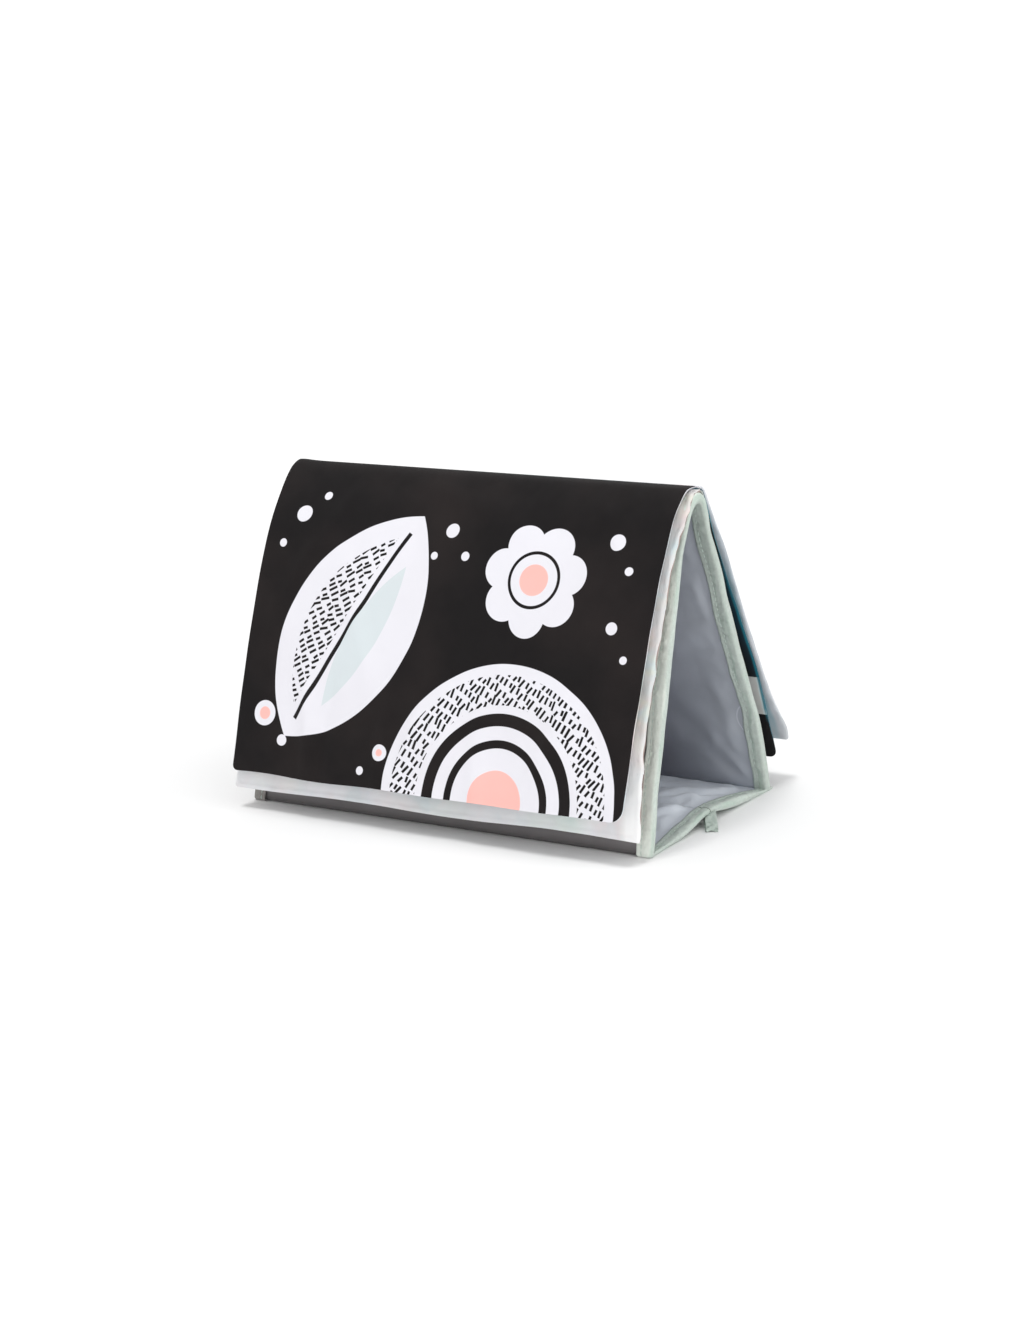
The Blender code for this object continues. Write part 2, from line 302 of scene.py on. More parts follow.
# ------------------------------------------------------------------ material building
class Sum:
    """A number in a material's node tree, with arithmetic that adds nodes."""

    def __init__(self, tree, socket):
        self.tree, self.socket = tree, socket

    def op(self, kind, *others, clamp=False):
        node = self.tree.nodes.new("ShaderNodeMath")
        node.operation, node.use_clamp = kind, clamp
        for i, o in enumerate((self, *others)):
            if isinstance(o, Sum):
                self.tree.links.new(o.socket, node.inputs[i])
            else:
                node.inputs[i].default_value = float(o)
        return Sum(self.tree, node.outputs[0])

    def __add__(self, o): return self.op("ADD", o)
    def __sub__(self, o): return self.op("SUBTRACT", o)
    def __mul__(self, o): return self.op("MULTIPLY", o)
    def __truediv__(self, o): return self.op("DIVIDE", o)
    def __radd__(self, o): return self + o
    def __rmul__(self, o): return self * o
    def __rsub__(self, o): return (self * -1.0) + o
    def __neg__(self): return self * -1.0
    def abs(self): return self.op("ABSOLUTE")
    def sqrt(self): return self.op("SQRT")
    def sin(self): return self.op("SINE")
    def cos(self): return self.op("COSINE")
    def min(self, o): return self.op("MINIMUM", o)
    def max(self, o): return self.op("MAXIMUM", o)
    def power(self, o): return self.op("POWER", o)
    def clip(self): return self.op("ADD", 0.0, clamp=True)


def ramp(x, lo, hi):
    """0 at lo, 1 at hi, straight between them."""
    return ((x - lo) * (1.0 / (hi - lo))).clip()


class Cloth:
    """One cloth material: flat coordinates in millimetres, layers of colour, and a woven surface."""

    def __init__(self, name, colour, rough=0.8, sheen=0.25, sheen_tint=(1, 1, 1), specular=0.35, metal=0.0):
        self.m = bpy.data.materials.new(name)
        self.m.use_nodes = True
        self.t = self.m.node_tree
        self.shader = self.t.nodes["Principled BSDF"]
        self.shader.inputs["Roughness"].default_value = rough
        self.shader.inputs["Sheen Weight"].default_value = sheen
        self.shader.inputs["Sheen Roughness"].default_value = 0.45
        self.shader.inputs["Sheen Tint"].default_value = (*sheen_tint, 1)
        self.shader.inputs["Specular IOR Level"].default_value = specular
        self.shader.inputs["Metallic"].default_value = metal
        uv = self.t.nodes.new("ShaderNodeUVMap")
        uv.uv_map = "cloth"
        scale = self.t.nodes.new("ShaderNodeVectorMath")
        scale.operation = "SCALE"
        scale.inputs["Scale"].default_value = 1000.0
        self.t.links.new(uv.outputs[0], scale.inputs[0])
        self.uv = scale.outputs[0]
        split = self.t.nodes.new("ShaderNodeSeparateXYZ")
        self.t.links.new(self.uv, split.inputs[0])
        self.u, self.v = Sum(self.t, split.outputs[0]), Sum(self.t, split.outputs[1])
        rgb = self.t.nodes.new("ShaderNodeRGB")
        rgb.outputs[0].default_value = (*colour, 1)
        self.colour = rgb.outputs[0]
        self.height = None
        self.rough = rough

    def value(self, x):
        node = self.t.nodes.new("ShaderNodeValue")
        node.outputs[0].default_value = x
        return Sum(self.t, node.outputs[0])

    def vector(self, x, y, z=0.0):
        node = self.t.nodes.new("ShaderNodeCombineXYZ")
        for i, o in enumerate((x, y, z)):
            if isinstance(o, Sum):
                self.t.links.new(o.socket, node.inputs[i])
            else:
                node.inputs[i].default_value = o
        return node.outputs[0]

    def noise(self, size, detail=2.0, rough=0.5, stretch=1.0, offset=0.0):
        """Noise from 0 to 1 whose features are about size millimetres wide."""
        node = self.t.nodes.new("ShaderNodeTexNoise")
        node.noise_dimensions = "2D"
        node.inputs["Scale"].default_value = 1.0
        node.inputs["Detail"].default_value = detail
        node.inputs["Roughness"].default_value = rough
        self.t.links.new(self.vector(self.u * (1 / size) + offset, self.v * (1 / (size * stretch)) + offset * 0.7), node.inputs["Vector"])
        return Sum(self.t, node.outputs["Fac"])

    def over(self, mask, colour):
        """Lays a colour over what is there, where mask is 1."""
        mix = self.t.nodes.new("ShaderNodeMix")
        mix.data_type = "RGBA"
        self.t.links.new(mask.socket, mix.inputs["Factor"])
        self.t.links.new(self.colour, mix.inputs[6])
        if isinstance(colour, tuple):
            mix.inputs[7].default_value = (*colour, 1)
        else:
            self.t.links.new(colour, mix.inputs[7])
        self.colour = mix.outputs[2]

    def shade(self, factor):
        """Multiplies the colour by a number."""
        node = self.t.nodes.new("ShaderNodeVectorMath")
        node.operation = "SCALE"
        self.t.links.new(self.colour, node.inputs[0])
        self.t.links.new(factor.socket, node.inputs["Scale"])
        self.colour = node.outputs[0]

    def weave(self, pitch=0.55, depth=1.0, ribs=False):
        """Threads over and under each other, or ribs across a tape."""
        k = 2 * math.pi / pitch
        a, b = (self.u * k).sin(), (self.v * k).sin()
        woven = (a * b) * 0.5 if not ribs else b * 0.5
        slub = (self.noise(1.6, 3.0, 0.6, stretch=2.5) - 0.5) * 0.8
        self.add_height(woven * depth + slub * depth)

    def add_height(self, h):
        self.height = h if self.height is None else self.height + h

    def done(self, bump=0.00006, strength=0.6, rough_change=None):
        t = self.t
        t.links.new(self.colour, self.shader.inputs["Base Color"])
        if self.height is not None:
            node = t.nodes.new("ShaderNodeBump")
            node.inputs["Distance"].default_value = bump
            node.inputs["Strength"].default_value = strength
            t.links.new(self.height.socket, node.inputs["Height"])
            t.links.new(node.outputs[0], self.shader.inputs["Normal"])
        if rough_change is not None:
            t.links.new((rough_change + self.rough).clip().socket, self.shader.inputs["Roughness"])
        return self.m


# shapes for prints: distances in millimetres, negative inside
def disc(c, x, y, r):
    return ((c.u - x) * (c.u - x) + (c.v - y) * (c.v - y)).sqrt() - r


def turned(c, x, y, degrees):
    """Coordinates about a point, turned."""
    k, s = math.cos(math.radians(degrees)), math.sin(math.radians(degrees))
    du, dv = c.u - x, c.v - y
    return du * k + dv * s, dv * k - du * s


def leaf(c, x, y, degrees, length, width):
    """A pointed leaf: where two large discs overlap."""
    p, q = turned(c, x, y, degrees)
    a, b = length / 2, width / 2
    r = (a * a + b * b) / (2 * b)
    near = (p * p + (q - (r - b)) * (q - (r - b))).sqrt() - r
    far = (p * p + (q + (r - b)) * (q + (r - b))).sqrt() - r
    return near.max(far)


def inside(d, soft=0.22):
    return (d * (-1.0 / soft) + 0.5).clip()


def ring(d, half):
    return d.abs() - half


def dashes(c, size=5.0, length=4.3, width=1.5, lean=35.0, swirl=0.0, centre=(0, 0)):
    """A field of short strokes, one in each cell of an uneven grid."""
    t = c.t
    p, q = turned(c, centre[0], centre[1], lean)
    node = t.nodes.new("ShaderNodeTexVoronoi")
    node.voronoi_dimensions = "2D"
    node.inputs["Scale"].default_value = 1.0
    node.inputs["Randomness"].default_value = 0.4
    vec = c.vector(p * (1 / (size * 1.2)), q * (1 / (size * 0.62)))
    t.links.new(vec, node.inputs["Vector"])
    diff = t.nodes.new("ShaderNodeVectorMath")
    diff.operation = "SUBTRACT"
    t.links.new(vec, diff.inputs[0])
    t.links.new(node.outputs["Position"], diff.inputs[1])
    split = t.nodes.new("ShaderNodeSeparateXYZ")
    t.links.new(diff.outputs[0], split.inputs[0])
    lx, ly = Sum(t, split.outputs[0]) * (size * 1.2), Sum(t, split.outputs[1]) * (size * 0.62)
    rnd = t.nodes.new("ShaderNodeSeparateXYZ")
    t.links.new(node.outputs["Color"], rnd.inputs[0])
    turn = (Sum(t, rnd.outputs[0]) - 0.5) * 0.55
    if swirl:
        turn = turn + c.v * swirl
    ca, sa = turn.cos(), turn.sin()
    x, y = lx * ca + ly * sa, ly * ca - lx * sa
    reach = Sum(t, rnd.outputs[1]) * (length * 0.35) + length * 0.32
    return (x.abs() - reach).max(y.abs() - width / 2)


# ------------------------------------------------------------------ colours (linear)
def srgb(r, g, b):
    return tuple(((c / 255 + 0.055) / 1.055) ** 2.4 if c > 10 else c / 255 / 12.92 for c in (r, g, b))


INK, PAPER = srgb(19, 16, 17), srgb(225, 224, 230)
PEACH, PALE = srgb(250, 184, 176), srgb(208, 216, 219)


def print_front():
    """Front outer page: white leaf, flower and rainbow hill on near-black."""
    c = Cloth("print_dark_garden", INK, rough=0.74, sheen=0.03, specular=0.16)
    # the hill: half a disc that rises from the bottom edge, with bands
    hill = disc(c, 48, 2, 74)
    c.over(inside(hill), PAPER)
    c.over(inside(ring(disc(c, 48, 2, 44), 3.4)), INK)
    c.over(inside(ring(disc(c, 48, 2, 31), 2.2)), INK)
    c.over(inside(disc(c, 48, 2, 17)), PEACH)
    band = ring(disc(c, 48, 2, 60), 8.2)
    c.over(inside(dashes(c, lean=62.0).max(band)), INK)
    # the leaf
    big = leaf(c, -62, 88, 62, 148, 84)
    c.over(inside(big.max(-(hill - 5.0))), PAPER)
    p, q = turned(c, -62, 88, 62)
    vein = (q.abs() - 1.3).max(p.abs() - 62)
    c.over(inside(vein.max(big + 3)), INK)
    field = leaf(c, -62, 88, 62, 120, 58).max(5.0 - q)
    c.over(inside(dashes(c, lean=28.0).max(field)), INK)
    other = leaf(c, -52.5, 83, 62, 92, 20)
    c.over(inside(other), PALE)
    # the flower
    for i in range(7):
        a = math.radians(i * 360 / 7 + 12)
        x, y = 52 + 20.5 * math.cos(a), 122 + 20.5 * math.sin(a)
        c.over(inside(disc(c, x, y, 11.2)), PAPER)
    c.over(inside(disc(c, 52, 122, 17.0)), PAPER)
    c.over(inside(ring(disc(c, 52, 122, 15.0), 0.9)), INK)
    c.over(inside(disc(c, 52, 122, 8.6)), PEACH)
    # seeds
    for x, y, r in ((-6, 146, 4.2), (6, 132, 2.6), (-14, 131, 2.2), (98, 146, 4.6), (108, 131, 2.4), (104, 100, 3.4), (-108, 150, 5.0),
                    (-96, 162, 2.6), (-112, 34, 7.2), (-98, 20, 3.2), (-30, 20, 4.6), (-42, 9, 2.4), (114, 84, 2.2), (-118, 132, 2.4)):
        c.over(inside(disc(c, x, y, r)), PAPER)
    for x, y, r in ((-30, 20, 2.0), (-112, 34, 3.6)):
        c.over(inside(disc(c, x, y, r)), PEACH)
    c.over(ramp(c.noise(60, 3.0), 0.35, 0.75) * 0.04, srgb(130, 110, 105))
    c.weave(0.55, 1.0)
    return c.done(0.00008, 0.55, (c.noise(9, 3) - 0.5) * 0.12)


def print_pastel(name, seed=0.0, base=(232, 233, 236), wash=1.0, border=False, rim=None, far=False):
    """Pale watercolour washes. border adds print with painted shade along the lower border and the side edge; rim adds
    a painted shadow line along the side rims.
    """
    c = Cloth(name, srgb(*base), rough=0.84, sheen=0.08, specular=0.25)
    for k, (col, amount) in enumerate(((srgb(188, 214, 218), 0.55), (srgb(238, 208, 206), 0.5), (srgb(206, 202, 224), 0.42), (srgb(206, 226, 212), 0.42))):
        c.over(ramp(c.noise(34 + 9 * k, 3.5, 0.55, offset=seed + 13.7 * k), 0.5, 0.74) * (amount * wash), col)
    if border:
        # painted shade: a soft grey along the lower border, fading out towards one end
        c.over(ramp(c.v, 30.0, 12.0) * ramp(c.u, 116.0, 40.0) * 0.34, srgb(176, 175, 176))
        c.over(inside(ring(disc(c, -20, 96, 38), 2.2)), srgb(150, 190, 196))
        c.over(inside(disc(c, -20, 96, 24)), srgb(236, 206, 202))
        for x, y in ((-88, 60), (60, 70), (92, 120), (-84, 130)):
            c.over(inside(leaf(c, x, y, 60 + x * 0.4, 46, 20)), srgb(160, 198, 190))
        # painted shade along the side edge: a greyer band with pink, blue and cream tints, turning white towards the
        # free edge
        side = ramp(c.u, 117.0, 122.0)
        c.over(side * 0.85, srgb(216, 213, 211))
        c.over(side * ramp(c.noise(17, 2.5, 0.6, offset=21.0), 0.48, 0.66) * 0.55, srgb(238, 214, 212))
        c.over(side * ramp(c.noise(21, 2.5, 0.6, offset=33.0), 0.50, 0.68) * 0.6, srgb(200, 222, 226))
        c.over(side * ramp(c.noise(15, 2.5, 0.6, offset=47.0), 0.52, 0.70) * 0.4, srgb(226, 226, 206))
        c.over(side * ramp(c.v, 66.0, 30.0) * 0.85, srgb(250, 250, 250))
    if rim:
        # painted shadow: a brown line along both side rims, where the page meets the tape
        c.over(ramp(c.u.abs(), 125.6, 127.6) * 0.9, srgb(*rim))
    if far:
        # lavender along the side edges, then pale blue, and greyer at the free edge
        c.over(ramp(c.u.abs(), 118.0, 126.0), srgb(214, 217, 222))
        c.over(ramp(c.v, 70.0, 130.0) * ramp(c.v, 182.0, 170.0) * 0.55, srgb(168, 176, 184))
        c.over(ramp(c.u.abs() - (c.v - 40.0) * 0.034, 126.6, 124.4) * ramp(c.u.abs(), 112.0, 122.0) * ramp(c.v, 146.0, 108.0) * 0.8, srgb(150, 194, 206))
        c.over(ramp(c.v, 26.0, 6.0) * 0.6, srgb(206, 208, 211))
    c.weave(0.55, 1.0)
    return c.done(0.00008, 0.55, (c.noise(9, 3) - 0.5) * 0.1)


def print_teal(name):
    """Dark teal wash with pale rounded leaves."""
    c = Cloth(name, srgb(24, 92, 108), rough=0.8, sheen=0.15)
    c.over(ramp(c.noise(55, 3.0), 0.35, 0.75) * 0.8, srgb(12, 58, 72))
    c.over(ramp(c.noise(30, 3.0, offset=7.3), 0.55, 0.8) * 0.5, srgb(90, 168, 178))
    for x, y, a, l, w in ((-78, 60, 75, 88, 40), (-20, 96, 118, 96, 44), (46, 58, 66, 92, 42), (96, 104, 120, 70, 32)):
        d = leaf(c, x, y, a, l, w)
        c.over(inside(d), srgb(226, 236, 238))
        p, q = turned(c, x, y, a)
        c.over(inside((q.abs() - 0.8).max(d + 3)), srgb(24, 92, 108))
    for x, y, r in ((-110, 120, 8), (4, 30, 7), (108, 26, 9), (20, 146, 5), (-54, 134, 4)):
        c.over(inside(disc(c, x, y, r)), PEACH)
    c.weave(0.55, 1.0)
    return c.done(0.00008, 0.55)


def print_black_bands(name):
    """Black cloth with a grey band, and the other face's dark teal coming round its side edges."""
    c = Cloth(name, srgb(22, 21, 24), rough=0.78, sheen=0.04, specular=0.2)
    edge = c.u.abs() * -1.0 + 129.2
    c.over(ramp(edge, 7.0, 2.6) * ramp(c.v, 40.0, 90.0) * ramp(c.v, 152.0, 118.0) * 0.75, srgb(18, 50, 66))
    c.over(inside((c.v - 42.6).abs() - 12.8), srgb(206, 207, 206))
    c.over(ramp(edge, 2.5, 1.6) * inside((c.v - 42.6).abs() - 12.8), srgb(206, 222, 226))
    c.over(ramp(edge, 1.7, 0.9) * ramp(c.v, 24.0, 34.0) * ramp(c.v, 150.0, 100.0) * 0.9, srgb(30, 108, 126))
    c.over(ramp(c.v, 170.0, 176.0), srgb(206, 208, 204))
    for x in (-84, -28, 28, 84):
        c.over(inside(ring(disc(c, x, 104, 19), 2.0)), srgb(176, 180, 180))
        c.over(inside(disc(c, x, 104, 8)), srgb(176, 180, 180))
    c.weave(0.55, 1.0)
    return c.done(0.00008, 0.55, (c.noise(9, 3) - 0.5) * 0.1)


def satin(name, colour, low=0.8, rough=0.42, sheen=0.25, metal=0.0, deep=None, crease_highlight=None, seam=0.0):
    """Smooth shiny cloth. deep paints shade on it far inside the tent, low down and away from the open ends, with a
    darker lavender tint towards the middle; seam paints shade along the stitched bottom edge, where the cloth turns
    under towards the floor; and a pale painted highlight can be laid along a small curved crease.
    """
    c = Cloth(name, colour, rough=rough, sheen=sheen, specular=0.5, metal=metal)
    c.shade(c.noise(34, 3.0, 0.55) * (2 * (1 - low)) + low)
    if deep:
        middle, run, amount = deep
        # painted shade: darker far inside the tent, low down and away from the open ends, with a darker lavender tint
        # towards the middle
        inward = ramp(c.u.abs(), 116.0, 58.0)
        down = ramp((c.v - middle).abs(), run - 90.0, run - 8.0)
        c.shade(inward * down * -amount + 1.0)
        c.over(inward * 0.35, tuple(0.62 * k for k in srgb(150, 146, 170)))
    if seam:
        # painted shade along the bottom edge, where the cloth turns under towards the floor
        c.shade(ramp(c.v, 5.5, 2.5) * -seam + 1.0)
    if crease_highlight:
        # painted highlight: the pale line along a small curved crease
        x, y, r = crease_highlight
        c.over(inside(ring(disc(c, x, y, r), 0.42)) * inside((c.v - y).abs() - 8.8) * inside(c.u - x + 2.0) * 0.5, srgb(226, 228, 236))
    c.weave(0.4, 0.7)
    c.add_height((c.noise(11, 3.0, 0.5, stretch=1.6) - 0.5) * 5.0)
    return c.done(0.00009, 0.5, (c.noise(16, 2) - 0.5) * 0.16)


def tape_cloth(name, colour, ends=False):
    c = Cloth(name, colour, rough=0.72, sheen=0.15, specular=0.3)
    c.shade(c.noise(2.6, 4.0, 0.7) * 0.34 + 0.83)
    c.shade(c.noise(4.0, 3.0, 0.6, stretch=7.0, offset=2.0) * 0.22 + 0.89)
    c.over(ramp(c.noise(22, 3.0, offset=4.0), 0.5, 0.8) * 0.22, tuple(v * 0.72 for v in colour))
    c.over(ramp(c.noise(3.0, 3.0, 0.6, stretch=9.0, offset=9.0), 0.52, 0.78) * 0.4, tuple(v * k for v, k in zip(colour, (0.66, 0.86, 0.74))))
    if ends:
        # painted shade: the leg inside the tent is greyer towards the ridge, and the run down the back panel a little
        # darker; painted light: the outer leg, which lies in the pages' shadow, is paler
        c.shade(ramp((c.v - APEX).abs(), 95.0, 12.0) * ramp(c.u, 9.5, 7.5) * -0.24 + 1.0)
        c.over(ramp(c.u, 12.0, 14.0) * 0.7, srgb(238, 243, 234))
        c.shade(ramp(c.v, APEX, APEX + 30.0) * -0.09 + 1.0)
    c.weave(0.6, 1.0, ribs=True)
    c.add_height((c.noise(2.2, 3.0, 0.65) - 0.5) * 5.0)
    return c.done(0.00012, 0.8, (c.noise(5, 2) - 0.5) * 0.14)


# ------------------------------------------------------------------ the tent: two panels and the ridge as one run of cloth
# The line at the panels' inner side, from the floor at the front, over the ridge, to the floor at the back.
TENT = Path([(-65.0, 0.25), (-63.5, 5.6), (-60.8, 19.0), (-56.2, 40.0), (-49.2, 65.0), (-42.2, 90.3), (-34.2, 120.6), (-26.2, 147.8),
             (-21.4, 161.0), (-17.0, 170.0), (-12.6, 175.3), (-7.8, 177.6), (-4.0, 176.4), (-1.4, 171.0), (1.9, 160.1), (6.4, 148.8), (10.8, 139.2),
             (17.6, 121.5), (23.6, 108.0), (28.7, 95.5), (37.4, 76.5), (41.4, 69.0), (47.8, 56.5), (54.0, 41.5), (57.8, 28.5), (61.8, 13.0), (63.7, 5.6), (65.0, 0.25)])
APEX = TENT.nearest(-7.0, 177.6)


# ------------------------------------------------------------------ materials
MINT, THREAD = srgb(202, 213, 205), srgb(198, 212, 203)
mat_front = print_front()
mat_pastel = print_pastel("print_pale_wash", border=True)
mat_pastel_b = print_pastel("print_pale_wash_b", 31.0, (214, 218, 222))
# its side rims carry a painted shadow line
mat_pastel_in = print_pastel("print_pale_wash_in", 47.0, (222, 220, 222), rim=(154, 132, 124))
mat_pastel_far = print_pastel("print_pale_wash_far", 61.0, (204, 210, 214), far=True)
mat_teal = print_teal("print_teal_leaves")
mat_black = print_black_bands("print_black_bands")
# the grey cover carries painted shade along its bottom edge
mat_grey = satin("satin_grey", srgb(112, 108, 109), 0.82, 0.5, 0.1, seam=0.35)
# the lining carries painted shade far inside the tent and a painted highlight along a small curved crease
mat_lining = satin("satin_lining", srgb(186, 190, 198), 0.86, 0.38, 0.1, metal=0.25, deep=(APEX, 182.0, 0.62), crease_highlight=(130.0, TENT.length - 45.5, 12.0))
mat_base = satin("satin_base_lining", srgb(226, 232, 240), 0.92, 0.46, 0.15, metal=0.05)
mat_under = satin("satin_underside", srgb(118, 116, 118), 0.85, 0.55, 0.1)
mat_tape = tape_cloth("edge_tape_mint", MINT)
# the right tent tapes carry painted shade near the ridge and painted light on the outer leg
mat_tape_tent = tape_cloth("edge_tape_mint_tent", MINT, ends=True)
# painted shade: a darker grey copy of the mint tape, used for the tapes and the ribbon on the left side
mat_tape_shade = tape_cloth("edge_tape_mint_shaded", srgb(140, 136, 133))
# painted shade: a darker copy of the mint tape for the ribbon on the right
mat_ribbon = tape_cloth("crease_ribbon_mint_shaded", srgb(182, 194, 186))
mat_thread = Cloth("thread_mint", THREAD, rough=0.6, sheen=0.3)
mat_thread.shade(mat_thread.noise(1.0) * 0.3 + 0.85)
mat_thread = mat_thread.done()


# ------------------------------------------------------------------ panels
def tent(x, s, offset):
    """A point of the tent: x across, s along its line, offset outwards. The ends lie flat on the floor."""
    s = np.asarray(s, float)
    p, n = TENT.at(s), TENT.left(s)
    near = np.minimum(s, TENT.length - s)
    k = 1 - smooth(near, 0.0, 14.0)
    flat = np.stack([np.where(s < APEX, -1.0, 1.0), np.zeros_like(s)], -1)
    n = n * (1 - k[..., None]) + flat * k[..., None]
    n /= np.linalg.norm(n, axis=-1, keepdims=True)
    p = p + n * np.asarray(offset)[..., None]
    return np.stack([np.broadcast_to(x, p.shape[:-1]), p[..., 0], p[..., 1]], -1)


def thick(s):
    """How far out the panel's cover lies: boards in the panels, cloth only over the ridge, pressed flatter on both sides of it."""
    s = np.asarray(s, float)
    t = 4.8 + 0.8 * (1 - smooth(np.abs(s - APEX), 0.0, 9.0))
    t = t - 2.3 * np.exp(-((s - APEX + 21.0) / 14.0) ** 2) - 1.2 * np.exp(-((s - APEX + 48.0) / 20.0) ** 2) - 1.3 * np.exp(-((s - APEX - 20.0) / 8.0) ** 2)
    return t - 0.9 * np.exp(-((s - APEX - 134.0) / 28.0) ** 2)


def spaced(a, b, step):
    return np.linspace(a, b, max(2, int(round((b - a) / step)) + 1))


def tent_sheet(name, s, x, top, bottom, materials, flip=False):
    X, S = np.meshgrid(x, s)
    t, b = tent(X, S, top(X, S)), tent(X, S, bottom(X, S))
    return shell(name, t, b, np.stack([X, S], -1), materials)


def edge_puckers(x, s, seed, limit=129.0, reach=9.0, height=0.35):
    """Small gathers where the cloth runs into the tape."""
    d = limit - np.abs(x)
    return height * np.exp(-d / reach) * waves(s, x * 0.15, seed, 5, 13, 16)


s_rows = spaced(0.4, TENT.length - 0.4, 2.4)
x_cols = np.concatenate([[-128.9], spaced(-127, -96, 1.6), spaced(-94, 94, 3.4), spaced(96, 127, 1.6), [128.9]])


def cover_top(X, S):
    near = np.minimum(S, TENT.length - S)
    r = 4.0
    down = np.where(near < r, 2.4 * (1 - np.sqrt(np.maximum(1 - ((r - near) / r) ** 2, 0))), 0.0)
    puff = 0.30 * waves(X, S, 11, 28, 90, 14) + 0.12 * waves(X, S, 12, 9, 22, 16) + edge_puckers(X, S, 13, height=0.2)
    held = smooth(np.abs(X), 119.0, 123.0)       # pressed down under the tape
    return thick(S) - down + puff * smooth(near, 0, 12) * (1 - held) - 0.3 * held


cover = tent_sheet("panel_cover_cloth", s_rows, x_cols, cover_top, lambda X, S: cover_top(X, S) - 0.7, [mat_grey])
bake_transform(cover)
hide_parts("front_panel_cover", "back_panel_cover", "spine_tape", "front_bottom_seam", "back_bottom_seam", "front_panel_board", "back_panel_board")


LINE_W, LINE_L = 236.0, 162.0
line_f, _ = gathered(LINE_W, LINE_L, 301, slack=0.045, hold=0.03, puff=0.25, bend=1.6, band=22.0)
line_b, _ = gathered(LINE_W, LINE_L, 307, slack=0.055, hold=0.02, puff=0.25, bend=1.6, band=26.0)


def lining_top(X, S):
    """The lining faces into the tent, so a smaller offset stands further in."""
    near = np.minimum(S, TENT.length - S)
    d = np.abs(S - APEX)
    t = (d - 9.0) / LINE_L
    u = X / LINE_W + 0.5
    within = ((t > 0) & (t < 1) & (u > 0) & (u < 1)).astype(float)
    creased = np.where(S < APEX, read(line_f, u, t), 0.38 * read(line_b, u, t)) * within
    soft = 0.55 * waves(X, S, 21, 36, 100, 12) * smooth(d, 3, 20) * smooth(near, 2, 14) * smooth(119.0 - np.abs(X), 0, 14)
    up = TENT.length - S                       # height along the back panel, from the floor
    side = np.where(X > 0, X, -X - 2.0)
    pulls = fold(side, up, (112, 17), -50, 10, 1.9, 1.1) + fold(side, up, (106, 13), -36, 13, 2.6, -1.0) + fold(side, up, (103, 28), -58, 15, 3.4, 0.8)
    pulls = pulls + fold(side, up, (94, 20), -30, 18, 3.6, 0.7) + fold(side, up, (110, 52), -84, 26, 5.0, 0.9) + fold(side, up, (114, 128), -80, 14, 4.0, 0.8)
    sag = 2.0 * np.exp(-((side - 103) / 11.0) ** 2) * np.exp(-((up - 7.0) / 7.0) ** 2) * smooth(up, 0.5, 3.0)
    pulls = (pulls * smooth(up, 2, 8) * smooth(121.0 - np.abs(X), 0, 5) + sag) * (S > APEX)
    return np.minimum(1.0 - creased - soft - pulls, thick(S) - 2.1)      # it stays inside the cover


lining = tent_sheet("panel_lining_cloth", s_rows, x_cols, lambda X, S: lining_top(X, S) + 0.7, lining_top, [mat_lining])
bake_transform(lining)
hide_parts("front_panel_lining", "back_panel_lining")


# ------------------------------------------------------------------ edge tape
def u_profile(lo, hi, inner, inner_hi, outer, t=0.75, r=1.5, n_leg=9):
    """The closed outline of a folded tape in (x, offset): its outer side, then back along its inner side."""
    r = min(r, (hi - lo) / 2 - 0.05)
    t = min(t, (hi - lo) / 2 - 0.12)
    turn = np.linspace(0, math.pi / 2, 6)

    def side(grow):
        rr = max(r - grow, 0.05)
        xl, xh = (np.linspace(start + 0.2 * grow, outer - r, n_leg)[:-1] for start in (inner, inner_hi))
        low = np.stack([xl, np.full(len(xl), lo + grow)], -1)
        c1 = np.stack([outer - r + rr * np.sin(turn), lo + r - rr * np.cos(turn)], -1)
        mid = np.linspace(lo + r, hi - r, 5)[1:-1]
        web = np.stack([np.full(3, outer - grow) + 0.18 * np.sin(np.linspace(0.8, 2.34, 3)), mid], -1)
        c2 = np.stack([outer - r + rr * np.cos(turn), hi - r + rr * np.sin(turn)], -1)
        high = np.stack([xh[::-1], np.full(len(xh), hi - grow)], -1)
        return np.concatenate([low, c1, web, c2, high])

    return side(0.0), side(t)[::-1]


LEG = 122.0                      # where the tape's legs end, across


